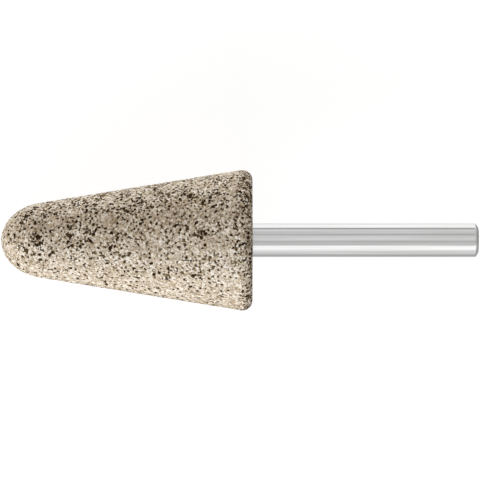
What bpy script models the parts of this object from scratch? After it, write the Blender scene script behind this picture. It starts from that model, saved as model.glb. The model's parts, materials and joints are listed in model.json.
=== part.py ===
"""Mounted point: a conical abrasive head with a rounded nose, cemented on a straight steel shank.

Units are metres and +Z is up. Each piece is drawn in the tool's own frame, whose Z axis is the
axis that the tool spins about: the head's flat back face is at z = 0, the nose points to +Z and
the shank leaves towards -Z. An empty then lays that frame down, so that the flank of the cone
rests on the floor and the shank stands clear of it.
"""

import math

import bmesh
import bpy
from mathutils import Vector

MM = 0.001

# Abrasive head
HEAD_LENGTH = 44.8 * MM
# Radius at which the line of the flank meets the plane of the back face, before the edge is rounded
FLANK_BASE_RADIUS = 12.87 * MM
FLANK_ANGLE = math.radians(9.26)
BACK_EDGE_RADIUS = 1.8 * MM
# Length of the half ellipse that ends the cone, measured along the axis
NOSE_ELLIPSE_LENGTH = 8.5 * MM
BORE_RADIUS = 4.0 * MM
BORE_DEPTH = 25.0 * MM
BORE_MOUTH_CHAMFER = 0.25 * MM

# Steel shank
SHANK_RADIUS = 3.0 * MM
SHANK_FREE_LENGTH = 40.2 * MM
SHANK_SET_LENGTH = 23.0 * MM
FREE_END_CHAMFER_LENGTH = 0.60 * MM
FREE_END_CHAMFER_DEPTH = 0.72 * MM
SET_END_CHAMFER = 0.5 * MM

# Grooves that key the shank into the cement
GROOVE_COUNT = 4
GROOVE_WIDTH = 1.6 * MM
GROOVE_DEPTH = 0.45 * MM
GROOVE_PITCH = 4.4 * MM
FIRST_GROOVE_Z = 4.0 * MM

# Clearance between two solids that meet
CLEARANCE = 0.3 * MM
# How far the cement ends inside the back face
CEMENT_SETBACK = 0.15 * MM

# Facets around each turned piece, even, so that one facet faces straight down
HEAD_SIDES = 64
SHANK_SIDES = 48
NOSE_STEPS = 14
EDGE_STEPS = 7
MERGE_DISTANCE = 1e-6
SHARP_EDGE_ANGLE = math.radians(32)

COLLECTION_NAME = "mounted_point"


def clear_scene():
    """Removes every object that the file opened with."""
    for item in list(bpy.data.objects):
        bpy.data.objects.remove(item, do_unlink=True)


def make_material(name, colour, roughness, metallic):
    """Makes a plain Principled material."""
    material = bpy.data.materials.new(name)
    material.use_nodes = True
    shader = material.node_tree.nodes["Principled BSDF"]
    shader.inputs["Base Color"].default_value = (*colour, 1.0)
    shader.inputs["Roughness"].default_value = roughness
    shader.inputs["Metallic"].default_value = metallic
    return material


def turned_piece(name, profile, sides, material, collection):
    """Turns a profile of (radius, z) points, from top to bottom down its outer side, about Z."""
    outline = bmesh.new()
    points = [outline.verts.new((radius, 0.0, z)) for radius, z in profile]
    for start, end in zip(points, points[1:]):
        outline.edges.new((start, end))
    mesh = bpy.data.meshes.new(name + "_profile")
    outline.to_mesh(mesh)
    outline.free()

    lathe = bpy.data.objects.new(name + "_lathe", mesh)
    collection.objects.link(lathe)
    screw = lathe.modifiers.new("turn", "SCREW")
    screw.steps = sides
    screw.render_steps = sides
    screw.use_merge_vertices = True
    screw.merge_threshold = MERGE_DISTANCE
    bpy.context.view_layer.update()
    graph = bpy.context.evaluated_depsgraph_get()
    solid = bpy.data.meshes.new_from_object(lathe.evaluated_get(graph))
    bpy.data.objects.remove(lathe, do_unlink=True)

    solid.name = name
    solid.shade_smooth()
    solid.set_sharp_from_angle(angle=SHARP_EDGE_ANGLE)
    solid.materials.clear()
    solid.materials.append(material)
    piece = bpy.data.objects.new(name, solid)
    # Half a step about the axis puts the middle of one facet, and not a ridge, at the bottom.
    piece.rotation_euler.z = math.pi / sides
    collection.objects.link(piece)
    return piece


def nose_points():
    """Points of the nose from its tip to where it runs into the flank, tangent to it.

    The nose is an ellipse about the tool's axis. Its half axis along the tool is given, and the
    other one follows from meeting the line of the flank without a corner.
    """
    slope = math.tan(FLANK_ANGLE)
    along = NOSE_ELLIPSE_LENGTH
    centre_z = HEAD_LENGTH - along
    line_radius = FLANK_BASE_RADIUS - slope * centre_z
    across = math.sqrt(line_radius**2 - (along * slope) ** 2)
    last_angle = math.atan2(across, along * slope)
    points = []
    for step in range(NOSE_STEPS + 1):
        angle = last_angle * step / NOSE_STEPS
        points.append((across * math.sin(angle), centre_z + along * math.cos(angle)))
    points[0] = (0.0, HEAD_LENGTH)
    return points


def back_edge_points():
    """Points of the rounded edge from the flank to the back face, tangent to both."""
    radius = BACK_EDGE_RADIUS
    slope = math.tan(FLANK_ANGLE)
    centre_r = FLANK_BASE_RADIUS - slope * radius - radius / math.cos(FLANK_ANGLE)
    points = []
    for step in range(EDGE_STEPS + 1):
        angle = FLANK_ANGLE - (math.pi / 2 + FLANK_ANGLE) * step / EDGE_STEPS
        points.append((centre_r + radius * math.cos(angle), radius + radius * math.sin(angle)))
    points[-1] = (centre_r, 0.0)
    return points


def head_profile():
    """Outline of the head: nose, flank, rounded back edge, back face and the blind bore."""
    return [
        *nose_points(),
        *back_edge_points(),
        (BORE_RADIUS + BORE_MOUTH_CHAMFER, 0.0),
        (BORE_RADIUS, BORE_MOUTH_CHAMFER),
        (BORE_RADIUS, BORE_DEPTH),
        (0.0, BORE_DEPTH),
    ]


def groove_spans():
    """Lower and upper z of each keying groove, from the deepest in the head to the first."""
    starts = [FIRST_GROOVE_Z + GROOVE_PITCH * index for index in range(GROOVE_COUNT)]
    return [(start, start + GROOVE_WIDTH) for start in reversed(starts)]


def shank_profile():
    """Outline of the shank, from the end set in the head down to the free end."""
    points = [
        (0.0, SHANK_SET_LENGTH),
        (SHANK_RADIUS - SET_END_CHAMFER, SHANK_SET_LENGTH),
        (SHANK_RADIUS, SHANK_SET_LENGTH - SET_END_CHAMFER),
    ]
    floor_radius = SHANK_RADIUS - GROOVE_DEPTH
    for low, high in groove_spans():
        points += [(SHANK_RADIUS, high), (floor_radius, high), (floor_radius, low), (SHANK_RADIUS, low)]
    # The free end has a chamfer whose two corners are eased, which takes three short facets.
    end_z = -SHANK_FREE_LENGTH
    ease = 0.3
    length = FREE_END_CHAMFER_LENGTH
    depth = FREE_END_CHAMFER_DEPTH
    points += [
        (SHANK_RADIUS, end_z + length * (1 + ease)),
        (SHANK_RADIUS - depth * ease / 2, end_z + length * (1 - ease / 2)),
        (SHANK_RADIUS - depth * (1 - ease / 2), end_z + length * ease / 2),
        (SHANK_RADIUS - depth * (1 + ease / 2), end_z),
        (0.0, end_z),
    ]
    return points


def cement_profile():
    """Outline of the cement: a cup round the set end, with a ridge in each groove of the shank."""
    outer = BORE_RADIUS - CLEARANCE
    inner = SHANK_RADIUS + CLEARANCE
    points = [
        (0.0, BORE_DEPTH - CLEARANCE),
        (outer, BORE_DEPTH - CLEARANCE),
        (outer, CEMENT_SETBACK),
        (inner, CEMENT_SETBACK),
    ]
    ridge_radius = inner - GROOVE_DEPTH
    for low, high in reversed(groove_spans()):
        ridge_low = low + CLEARANCE
        ridge_high = high - CLEARANCE
        points += [(inner, ridge_low), (ridge_radius, ridge_low), (ridge_radius, ridge_high), (inner, ridge_high)]
    floor_z = SHANK_SET_LENGTH + CLEARANCE
    return [*points, (inner, floor_z), (0.0, floor_z)]


def lay_on_floor(frame, pieces):
    """Tips the tool's frame until the lowest facet of the flank is level, and rests it on z = 0.

    The middle of the whole tool, seen from above, comes to the origin.
    """
    facet_slope = math.tan(FLANK_ANGLE) * math.cos(math.pi / HEAD_SIDES)
    frame.rotation_euler.y = -(math.pi / 2 + math.atan(facet_slope))
    bpy.context.view_layer.update()
    corners = [piece.matrix_world @ vertex.co for piece in pieces for vertex in piece.data.vertices]
    lowest = Vector([min(point[axis] for point in corners) for axis in range(3)])
    highest = Vector([max(point[axis] for point in corners) for axis in range(3)])
    middle = (lowest + highest) / 2
    frame.location = (-middle.x, -middle.y, -lowest.z)
    bpy.context.view_layer.update()


def main():
    clear_scene()
    collection = bpy.data.collections.new(COLLECTION_NAME)
    bpy.context.scene.collection.children.link(collection)

    grit = make_material("abrasive_grit", colour=(0.46, 0.38, 0.28), roughness=0.9, metallic=0.0)
    steel = make_material("ground_steel", colour=(0.62, 0.62, 0.62), roughness=0.2, metallic=1.0)
    bond = make_material("pale_cement", colour=(0.60, 0.57, 0.50), roughness=0.8, metallic=0.0)

    head = turned_piece("abrasive_head", head_profile(), HEAD_SIDES, grit, collection)
    shank = turned_piece("steel_shank", shank_profile(), SHANK_SIDES, steel, collection)
    cement = turned_piece("cement_sleeve", cement_profile(), SHANK_SIDES, bond, collection)

    tool_frame = bpy.data.objects.new("tool_axis", None)
    collection.objects.link(tool_frame)
    pieces = (head, shank, cement)
    for piece in pieces:
        piece.parent = tool_frame
    lay_on_floor(tool_frame, pieces)


main()
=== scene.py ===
"""Looks of a mounted point: a cone of coarse grit with a rounded nose, on a bright steel shank.

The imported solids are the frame. Each visible piece is turned or gathered in the tool's own frame,
whose Z axis runs from the head's back face to its nose, and is then laid into the row's frame.
"""

import json
import logging
import math
from collections.abc import Iterable, Sequence
from dataclasses import dataclass, field
from enum import Enum

import bmesh
import bpy
import numpy as np
from mathutils import Matrix, Vector, kdtree, noise


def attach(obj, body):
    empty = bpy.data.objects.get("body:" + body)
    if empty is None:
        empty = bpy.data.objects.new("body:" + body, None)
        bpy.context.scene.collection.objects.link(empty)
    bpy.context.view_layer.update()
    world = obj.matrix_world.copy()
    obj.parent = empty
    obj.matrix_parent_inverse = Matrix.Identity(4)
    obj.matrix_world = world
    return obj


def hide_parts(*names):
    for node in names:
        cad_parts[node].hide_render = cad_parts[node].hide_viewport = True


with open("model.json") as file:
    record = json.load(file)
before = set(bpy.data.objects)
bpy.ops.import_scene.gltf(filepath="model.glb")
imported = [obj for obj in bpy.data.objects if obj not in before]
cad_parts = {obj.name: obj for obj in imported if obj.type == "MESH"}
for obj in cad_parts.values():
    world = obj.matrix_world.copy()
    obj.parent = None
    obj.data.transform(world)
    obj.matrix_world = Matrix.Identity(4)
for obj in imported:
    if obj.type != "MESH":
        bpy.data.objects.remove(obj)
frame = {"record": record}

log = logging.getLogger("mounted_point")

MM = 0.001
BODY = "root"
BAKE_MAP = "OFBake"
SEED = 20

# Points closer than this are one point.
MERGE_DISTANCE = 1e-7
# The first keeps a division off zero, and the second keeps a direction from having no length.
TINY = 1e-9
NUDGE = 1e-6
# The turn from one site of a spiral to the next that spreads them evenly.
GOLDEN_ANGLE = math.pi * (3 - math.sqrt(5))
# The middle of a tone, a tint, a noise and a cell of the grain map, which all run from 0 to 1.
MIDDLE = 0.5
# How far a grain reaches from the middle of its cell of the map.
CELL_REACH = 0.48
# The number of a site that has a pore and no grain.
PORE = -1


def linear(level: float) -> float:
    """Turns one 0 to 255 display level into a linear value.

    Args:
        level: The level as a screen shows it.

    Returns:
        The linear value, from 0 to 1.
    """
    share = level / 255
    return share / 12.92 if share <= 0.04045 else ((share + 0.055) / 1.055) ** 2.4


def colour(red: float, green: float, blue: float) -> tuple[float, float, float, float]:
    """Turns a display colour into the linear one that sockets take.

    Args:
        red: Level from 0 to 255.
        green: Level from 0 to 255.
        blue: Level from 0 to 255.

    Returns:
        Linear red, green, blue and a full alpha.
    """
    return linear(red), linear(green), linear(blue), 1.0


def grey(level: float) -> tuple[float, float, float, float]:
    """Gives a grey of a linear level, with a full alpha."""
    return level, level, level, 1.0


@dataclass(frozen=True)
class ToolFrame:
    """Where the tool's own frame lies: its Z axis is the spin axis, from back face to nose."""

    back_face: Vector
    to_nose: Vector

    @classmethod
    def from_record(cls, record: dict, mount: str, free_length: float) -> "ToolFrame":
        """Reads the frame off the mount on the shank's free end.

        Args:
            record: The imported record.
            mount: Name of the mount, whose axis points out of the end.
            free_length: Length of shank outside the head.

        Returns:
            The tool's frame.
        """
        end = next(item for item in record["mounts"] if item["name"] == mount)
        way_out = Vector(end["axis"]).normalized()
        return cls(Vector(end["pos_m"]) - way_out * free_length, -way_out)

    @property
    def side(self) -> Vector:
        """The level direction across the tool, which the photograph shows as up."""
        return Vector((0.0, 1.0, 0.0))

    @property
    def top(self) -> Vector:
        """The direction square to the tool and its side, which faces the camera."""
        return self.side.cross(self.to_nose)

    def matrix(self) -> Matrix:
        """Gives the matrix that lays the tool's frame into the row's."""
        turn = Matrix((self.top, self.side, self.to_nose)).transposed()
        return Matrix.Translation(self.back_face) @ turn.to_4x4()

    def point(self, z: float) -> Vector:
        """Gives the point of the spin axis at a height z of the tool's frame."""
        return self.back_face + self.to_nose * z


@dataclass(frozen=True)
class HeadForm:
    """Driving dimensions of the head, as the solids have them."""

    length: float = 44.8 * MM
    flank_base_radius: float = 12.87 * MM
    flank_angle: float = math.radians(9.26)
    back_edge_radius: float = 1.8 * MM
    nose_length: float = 8.5 * MM
    bore_radius: float = 4.0 * MM
    bore_depth: float = 25.0 * MM
    mouth_chamfer: float = 0.25 * MM
    solid_sides: int = 64
    solid_nose_steps: int = 14
    solid_edge_steps: int = 7

    @property
    def inner_share(self) -> float:
        """Share of a radius at which the middle of the solid's facets lies."""
        return math.cos(math.pi / self.solid_sides)

    def outline(self, nose_steps: int, flank_rows: int, edge_steps: int, face_rows: int) -> np.ndarray:
        """Draws half the outer section, from the tip to the mouth of the bore.

        Args:
            nose_steps: Steps of the half ellipse at the nose.
            flank_rows: Steps of the straight flank.
            edge_steps: Steps of the rounded back edge.
            face_rows: Steps of the flat back face.

        Returns:
            Rows of radius and z.
        """
        slope = math.tan(self.flank_angle)
        nose_z = self.length - self.nose_length
        line_radius = self.flank_base_radius - slope * nose_z
        across = math.sqrt(line_radius**2 - (self.nose_length * slope) ** 2)
        turn = math.atan2(across, self.nose_length * slope) * np.linspace(0, 1, nose_steps + 1)
        nose = np.stack([across * np.sin(turn), nose_z + self.nose_length * np.cos(turn)], 1)

        edge = self.back_edge_radius
        centre = self.flank_base_radius - slope * edge - edge / math.cos(self.flank_angle)
        turn = self.flank_angle - (math.pi / 2 + self.flank_angle) * np.linspace(0, 1, edge_steps + 1)
        back = np.stack([centre + edge * np.cos(turn), edge + edge * np.sin(turn)], 1)

        flank = np.linspace(nose[-1], back[0], flank_rows + 1)[1:-1]
        mouth = (self.bore_radius + self.mouth_chamfer, 0.0)
        face = np.linspace(back[-1], mouth, face_rows + 1)[1:]
        return np.concatenate([nose, flank, back, face]) * (self.inner_share, 1.0)

    def bore(self) -> np.ndarray:
        """Draws the section of the blind bore, from its mouth to the middle of its floor.

        Returns:
            Rows of radius and z.
        """
        return np.array([
            (self.bore_radius, self.mouth_chamfer),
            (self.bore_radius, self.bore_depth),
            (0.0, self.bore_depth),
        ])


class Envelope:
    """The dressed surface of the head. Nothing of the head stands out of it."""

    def __init__(self, form: HeadForm, inset: float) -> None:
        """Works out the lines of the section, as the solid's facets have them.

        Args:
            form: The head's dimensions.
            inset: How far inside the solid the surface lies.
        """
        section = form.outline(form.solid_nose_steps, 1, form.solid_edge_steps, 1)
        step = np.diff(section, axis=0)
        out = np.stack([-step[:, 1], step[:, 0]], 1)
        self.normals = out / np.linalg.norm(out, axis=1)[:, None]
        self.offsets = (section[:-1] * self.normals).sum(1) - inset

    def heights(self, places: np.ndarray) -> tuple[np.ndarray, np.ndarray]:
        """Measures how far points stand out of the surface.

        Args:
            places: Points in the tool's frame.

        Returns:
            Each point's height, below zero inside, and the outward normal in radius and z there.
        """
        flat = np.stack([np.hypot(places[:, 0], places[:, 1]), places[:, 2]], 1)
        over = flat @ self.normals.T - self.offsets
        nearest = over.argmax(1)
        return over[np.arange(len(over)), nearest], self.normals[nearest]

    def shift(self, places: np.ndarray, by: np.ndarray, normals: np.ndarray) -> np.ndarray:
        """Moves points along normals given in radius and z.

        Args:
            places: Points in the tool's frame.
            by: Distance for each point, outwards.
            normals: Normal for each point, in radius and z.

        Returns:
            The moved points.
        """
        radius = np.maximum(np.hypot(places[:, 0], places[:, 1]), TINY)
        across = places[:, :2] / radius[:, None]
        step = np.concatenate([across * normals[:, :1], normals[:, 1:]], 1)
        return places + step * by[:, None]

    def dress(self, places: np.ndarray, drop: np.ndarray, passes: int = 3) -> np.ndarray:
        """Presses down whatever stands out of the surface, as a diamond dresser does.

        Args:
            places: Points in the tool's frame.
            drop: How far under the surface each point has to end.
            passes: How often it is done, for points near a corner of the section.

        Returns:
            The pressed points.
        """
        for _ in range(passes):
            height, normals = self.heights(places)
            places = self.shift(places, -np.maximum(height + drop, 0), normals)
        return places


def places_of(mesh: bpy.types.Mesh) -> np.ndarray:
    """Reads the points of a mesh.

    Args:
        mesh: The mesh.

    Returns:
        Rows of x, y and z.
    """
    flat = np.empty(len(mesh.vertices) * 3, np.float32)
    mesh.vertices.foreach_get("co", flat)
    return flat.reshape(-1, 3).astype(float)


def set_places(mesh: bpy.types.Mesh, places: np.ndarray) -> None:
    """Writes rows of x, y and z to the points of a mesh."""
    mesh.vertices.foreach_set("co", places.astype(np.float32).ravel())
    mesh.update()


def add_numbers(mesh: bpy.types.Mesh, name: str, values: np.ndarray) -> None:
    """Gives each point of a mesh a number that its material reads.

    Args:
        mesh: The mesh.
        name: Name of the attribute.
        values: One number for each point.
    """
    layer = mesh.attributes.new(name, "FLOAT", "POINT")
    layer.data.foreach_set("value", values.astype(np.float32))


def turned(section: Sequence[Sequence[float]], segments: int) -> bmesh.types.BMesh:
    """Spins a section about Z into a closed body, with a map wrapped round it.

    Args:
        section: Radius and z of each point, from one end on the axis to the other.
        segments: Steps round the axis.

    Returns:
        The body, in the tool's frame.
    """
    bm = bmesh.new()
    along = bm.verts.layers.float.new("along")
    run = 0.0
    points = []
    for radius, z in section:
        point = bm.verts.new((radius, 0.0, z))
        run += (point.co - points[-1].co).length if points else 0.0
        point[along] = run
        points.append(point)
    edges = [bm.edges.new(pair) for pair in zip(points, points[1:])]
    bmesh.ops.spin(
        bm, geom=points + edges, cent=(0, 0, 0), axis=(0, 0, 1),
        angle=2 * math.pi, steps=segments, use_merge=True,
    )
    bmesh.ops.remove_doubles(bm, verts=bm.verts[:], dist=MERGE_DISTANCE)
    bmesh.ops.recalc_face_normals(bm, faces=bm.faces[:])
    wrap_map(bm, along, run)
    return bm


def wrap_map(bm: bmesh.types.BMesh, along: bmesh.types.BMLayerItem, run: float) -> None:
    """Maps a turned body: its turn goes across the map and its section's length up it.

    Args:
        bm: The body.
        along: Layer with each point's place along the section.
        run: Length of the whole section.
    """
    uv = bm.loops.layers.uv.new(BAKE_MAP)
    for face in bm.faces:
        middle = face.calc_center_median()
        facing = math.atan2(middle.y, middle.x)
        for corner in face.loops:
            place = corner.vert.co
            off_axis = math.hypot(place.x, place.y) > MERGE_DISTANCE
            turn = math.atan2(place.y, place.x) - facing if off_axis else 0.0
            turn = (turn + math.pi) % (2 * math.pi) - math.pi
            across = (facing + turn) / (2 * math.pi) + 0.5
            corner[uv].uv = (min(max(across, 0.0), 1.0), corner.vert[along] / run)


class Wiring:
    """Adds nodes to a node tree and joins them."""

    def __init__(self, tree: bpy.types.NodeTree) -> None:
        """Takes the tree that nodes are added to."""
        self.tree = tree

    def add(self, kind: str, /, **settings: object) -> bpy.types.Node:
        """Adds a node.

        Args:
            kind: The node's type, without the word that all shader nodes start with.
            settings: Properties of the node.

        Returns:
            The node.
        """
        node = self.tree.nodes.new(kind if kind.startswith("Node") else "ShaderNode" + kind)
        for name, value in settings.items():
            setattr(node, name, value)
        return node

    def feed(self, socket: bpy.types.NodeSocket, source: object) -> None:
        """Joins a socket to another one, or sets its value.

        Args:
            socket: The input.
            source: An output socket, or a plain value.
        """
        if isinstance(source, bpy.types.NodeSocket):
            self.tree.links.new(source, socket)
        else:
            socket.default_value = source

    def maths(self, operation: str, *values: object, clamp: bool = False) -> bpy.types.NodeSocket:
        """Adds a Math node.

        Args:
            operation: What it does.
            values: Its inputs, as sockets or numbers.
            clamp: Whether the result is held between 0 and 1.

        Returns:
            Its output.
        """
        node = self.add("Math", operation=operation, use_clamp=clamp)
        for socket, value in zip(node.inputs, values):
            self.feed(socket, value)
        return node.outputs[0]

    def along(self, vector: bpy.types.NodeSocket, way: Vector) -> bpy.types.NodeSocket:
        """Measures how far a vector goes one way, with a Vector Math node.

        Args:
            vector: The vector.
            way: The way, as a direction of length 1.

        Returns:
            Its output.
        """
        node = self.add("VectorMath", operation="DOT_PRODUCT")
        self.feed(node.inputs[0], vector)
        self.feed(node.inputs[1], way)
        return node.outputs["Value"]

    def spread(
        self, value: object, low: float, high: float, to_low: float, to_high: float,
    ) -> bpy.types.NodeSocket:
        """Adds a Map Range node, held to its ends.

        Args:
            value: The number to map.
            low: Where it starts.
            high: Where it ends.
            to_low: The result at the start.
            to_high: The result at the end.

        Returns:
            Its output.
        """
        node = self.add("MapRange")
        for socket, number in zip(node.inputs, (value, low, high, to_low, to_high)):
            self.feed(socket, number)
        return node.outputs[0]

    def mix(
        self, share: object, first: object, second: object, blend: str = "MIX",
    ) -> bpy.types.NodeSocket:
        """Adds a Mix node for colours.

        Args:
            share: How much of the second colour there is.
            first: The first colour.
            second: The second colour.
            blend: How the second goes over the first.

        Returns:
            Its output.
        """
        node = self.add("Mix", data_type="RGBA", blend_type=blend)
        self.feed(node.inputs[0], share)
        self.feed(node.inputs[6], first)
        self.feed(node.inputs[7], second)
        return node.outputs[2]

    def ramp(
        self, value: object, stops: Sequence[tuple[float, tuple]], easing: str = "LINEAR",
    ) -> bpy.types.NodeSocket:
        """Adds a Color Ramp node.

        Args:
            value: Its input.
            stops: Position and colour of each stop, in order.
            easing: How it goes from one stop to the next.

        Returns:
            Its colour output.
        """
        node = self.add("ValToRGB")
        node.color_ramp.interpolation = easing
        elements = node.color_ramp.elements
        while len(elements) < len(stops):
            elements.new(1.0)
        for element, (position, shade) in zip(elements, stops):
            element.position = position
            element.color = shade
        self.feed(node.inputs[0], value)
        return node.outputs[0]

    def noise(
        self, place: object, scale: object, detail: float = 2.0, roughness: float = 0.5,
    ) -> bpy.types.NodeSocket:
        """Adds a Noise Texture node.

        Args:
            place: Its vector.
            scale: Its scale, for each metre.
            detail: Its octaves.
            roughness: How much each octave keeps.

        Returns:
            Its value output.
        """
        node = self.add("TexNoise")
        self.feed(node.inputs["Vector"], place)
        self.feed(node.inputs["Scale"], scale)
        self.feed(node.inputs["Detail"], detail)
        self.feed(node.inputs["Roughness"], roughness)
        return node.outputs[0]

    def group(self, tree: bpy.types.NodeTree, **values: object) -> bpy.types.Node:
        """Places a node group.

        Args:
            tree: The group's tree.
            values: Its inputs, with underscores for spaces.

        Returns:
            The group's node.
        """
        node = self.add("Group", node_tree=tree)
        for name, value in values.items():
            self.feed(node.inputs[name.replace("_", " ")], value)
        return node


def new_group(
    name: str, inputs: dict[str, str], outputs: dict[str, str],
) -> tuple[Wiring, bpy.types.Node, bpy.types.Node]:
    """Starts a shader node group.

    Args:
        name: The group's name.
        inputs: Type of each input socket by name.
        outputs: Type of each output socket by name.

    Returns:
        Its wiring, its input node and its output node.
    """
    tree = bpy.data.node_groups.new(name, "ShaderNodeTree")
    for socket, kind in inputs.items():
        tree.interface.new_socket(name=socket, in_out="INPUT", socket_type="NodeSocket" + kind)
    for socket, kind in outputs.items():
        tree.interface.new_socket(name=socket, in_out="OUTPUT", socket_type="NodeSocket" + kind)
    wiring = Wiring(tree)
    return wiring, wiring.add("NodeGroupInput"), wiring.add("NodeGroupOutput")


def new_material(name: str) -> tuple[bpy.types.Material, Wiring, bpy.types.Node]:
    """Starts a material with a Principled shader.

    Args:
        name: The material's name.

    Returns:
        The material, its wiring and its shader.
    """
    material = bpy.data.materials.new(name)
    material.use_nodes = True
    tree = material.node_tree
    return material, Wiring(tree), tree.nodes["Principled BSDF"]


def bump_surface(
    wiring: Wiring, shader: bpy.types.Node, height: bpy.types.NodeSocket, distance: float,
) -> None:
    """Bumps the surface of a material.

    Args:
        wiring: The material's wiring.
        shader: Its shader.
        height: The height of each point, about 1 at most.
        distance: What a height of 1 stands for, in metres.
    """
    bump = wiring.add("Bump")
    bump.inputs["Strength"].default_value = 1.0
    bump.inputs["Distance"].default_value = distance
    wiring.feed(bump.inputs["Height"], height)
    wiring.feed(shader.inputs["Normal"], bump.outputs[0])


@dataclass(frozen=True)
class BrokenCrystal:
    """The fine broken surface that grit, bond and cement share: noise over small facets."""

    detail: float = 3.0
    roughness: float = 0.6
    noise_height: float = 0.7
    facet_scale: float = 1.7
    facet_height: float = 0.6

    def group(self) -> bpy.types.NodeTree:
        """Builds the shader node group.

        Returns:
            A group that takes a place, a scale for each metre and a contrast, and gives a shade
            about 1 and a height about 0.5.
        """
        wiring, given, made = new_group(
            "broken_crystal",
            {"Place": "Vector", "Scale": "Float", "Contrast": "Float"},
            {"Shade": "Float", "Height": "Float"},
        )
        place, scale, contrast = given.outputs[:3]
        coarse = wiring.noise(place, scale, self.detail, self.roughness)
        cells = wiring.add("TexVoronoi", feature="F1")
        wiring.feed(cells.inputs["Vector"], place)
        wiring.feed(cells.inputs["Scale"], wiring.maths("MULTIPLY", scale, self.facet_scale))
        facets = wiring.maths("MULTIPLY", cells.outputs["Distance"], self.facet_height)
        height = wiring.maths("ADD", wiring.maths("MULTIPLY", coarse, self.noise_height), facets)
        swing = wiring.maths("MULTIPLY", wiring.maths("SUBTRACT", coarse, MIDDLE), contrast)
        wiring.feed(made.inputs["Shade"], wiring.maths("ADD", swing, 1.0))
        wiring.feed(made.inputs["Height"], height)
        return wiring.tree


@dataclass(frozen=True)
class BrokenSkin:
    """How fine, how uneven in colour and how deep the broken surface of one finish is."""

    scale: float
    contrast: float
    depth: float

    def lay(
        self, wiring: Wiring, shader: bpy.types.Node, base: bpy.types.NodeSocket, crystal: bpy.types.NodeTree,
    ) -> bpy.types.NodeSocket:
        """Gives a material its colour and its bumps, both broken up.

        Args:
            wiring: The material's wiring.
            shader: Its shader.
            base: Its colour.
            crystal: The group for the broken surface.

        Returns:
            The height of the broken surface.
        """
        place = wiring.add("TexCoord").outputs["Object"]
        broken = wiring.group(crystal, Place=place, Scale=self.scale, Contrast=self.contrast)
        wiring.feed(shader.inputs["Base Color"], wiring.mix(1.0, base, broken.outputs["Shade"], "MULTIPLY"))
        bump_surface(wiring, shader, broken.outputs["Height"], self.depth)
        return broken.outputs["Height"]


class Grit(Enum):
    """The kinds of grain in the head."""

    CREAM = "cream_grit"
    SAND = "sand_grit"
    OAT = "oat_grit"
    ROSE = "rose_grit"
    DARK = "dark_grit"

    @property
    def number(self) -> int:
        """The kind's place among the kinds, from 0."""
        return list(Grit).index(self)


@dataclass(frozen=True)
class GritFinish:
    """Finish of one kind of grain.

    The shades go by the grain's tone, from its dullest at 0 to its palest at 1, and are tinted from
    warm to cool by its own tint. The tone is partly the grain's own and partly painted light and
    shade by side of the head. The roughness goes with the height of the broken surface.
    """

    shades: tuple[tuple[float, tuple[float, float, float]], ...]
    warm: tuple[float, float, float]
    cool: tuple[float, float, float]
    roughness: tuple[float, float]
    skin: BrokenSkin
    specular: float = 0.45
    height_span: tuple[float, float] = (0.3, 0.8)

    def material(self, name: str, crystal: bpy.types.NodeTree) -> bpy.types.Material:
        """Builds the material. It reads each grain's tone, painted light and shade included, and its tint.

        Args:
            name: The material's name.
            crystal: The group for the broken surface.

        Returns:
            The material.
        """
        material, wiring, shader = new_material(name)
        tone = wiring.add("Attribute", attribute_name="tone").outputs["Fac"]
        tint = wiring.add("Attribute", attribute_name="tint").outputs["Fac"]
        base = wiring.ramp(tone, [(at, colour(*shade)) for at, shade in self.shades])
        tinted = wiring.mix(1.0, base, wiring.mix(tint, (*self.warm, 1), (*self.cool, 1)), "MULTIPLY")
        height = self.skin.lay(wiring, shader, tinted, crystal)
        rough = wiring.spread(height, *self.height_span, *self.roughness)
        wiring.feed(shader.inputs["Roughness"], rough)
        shader.inputs["Specular IOR Level"].default_value = self.specular
        return material


@dataclass(frozen=True)
class GritBlend:
    """How much of one kind of grain there is, and how it sits in the bond.

    Depths are shares of a grain's size, and the drop is what the dresser took off beyond the rest.
    The tilt is the slope of a grain's flat, and apart is the least distance between two grains.
    The stretch gives how long a grain may be each way, as a share of its size, and the bulk is how
    much duller the big grains are than the small ones.
    """

    finish: GritFinish
    share: float
    size: float
    size_spread: float
    size_limits: tuple[float, float]
    depth: tuple[float, float]
    drop: tuple[float, float]
    tone_spread: float
    tilt: float = 0.12
    apart: float = 0.0
    stretch: tuple[float, float] = (0.6, 1.05)
    bulk: float = 0.0


CREAM_FINISH = GritFinish(
    shades=((0.0, (202, 191, 174)), (0.5, (218, 208, 193)), (1.0, (229, 221, 209))),
    warm=(1.01, 1.0, 0.97),
    cool=(0.995, 1.0, 1.02),
    roughness=(0.55, 0.85),
    skin=BrokenSkin(scale=9000.0, contrast=0.28, depth=0.02 * MM),
)
SAND_FINISH = GritFinish(
    shades=((0.0, (137, 119, 94)), (0.5, (180, 163, 140)), (1.0, (207, 194, 175))),
    warm=(1.01, 1.0, 0.96),
    cool=(0.995, 1.0, 1.02),
    roughness=(0.5, 0.85),
    skin=BrokenSkin(scale=9000.0, contrast=0.4, depth=0.02 * MM),
)
OAT_FINISH = GritFinish(
    shades=((0.0, (175, 160, 138)), (0.5, (200, 186, 165)), (1.0, (216, 206, 189))),
    warm=(1.0, 1.0, 0.96),
    cool=(0.99, 1.0, 1.02),
    roughness=(0.5, 0.8),
    skin=BrokenSkin(scale=9000.0, contrast=0.3, depth=0.02 * MM),
)
ROSE_FINISH = GritFinish(
    shades=((0.0, (181, 164, 145)), (0.5, (204, 189, 171)), (1.0, (220, 208, 194))),
    warm=(1.01, 0.995, 0.98),
    cool=(0.985, 0.985, 1.02),
    roughness=(0.5, 0.8),
    skin=BrokenSkin(scale=9000.0, contrast=0.35, depth=0.02 * MM),
)
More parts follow.
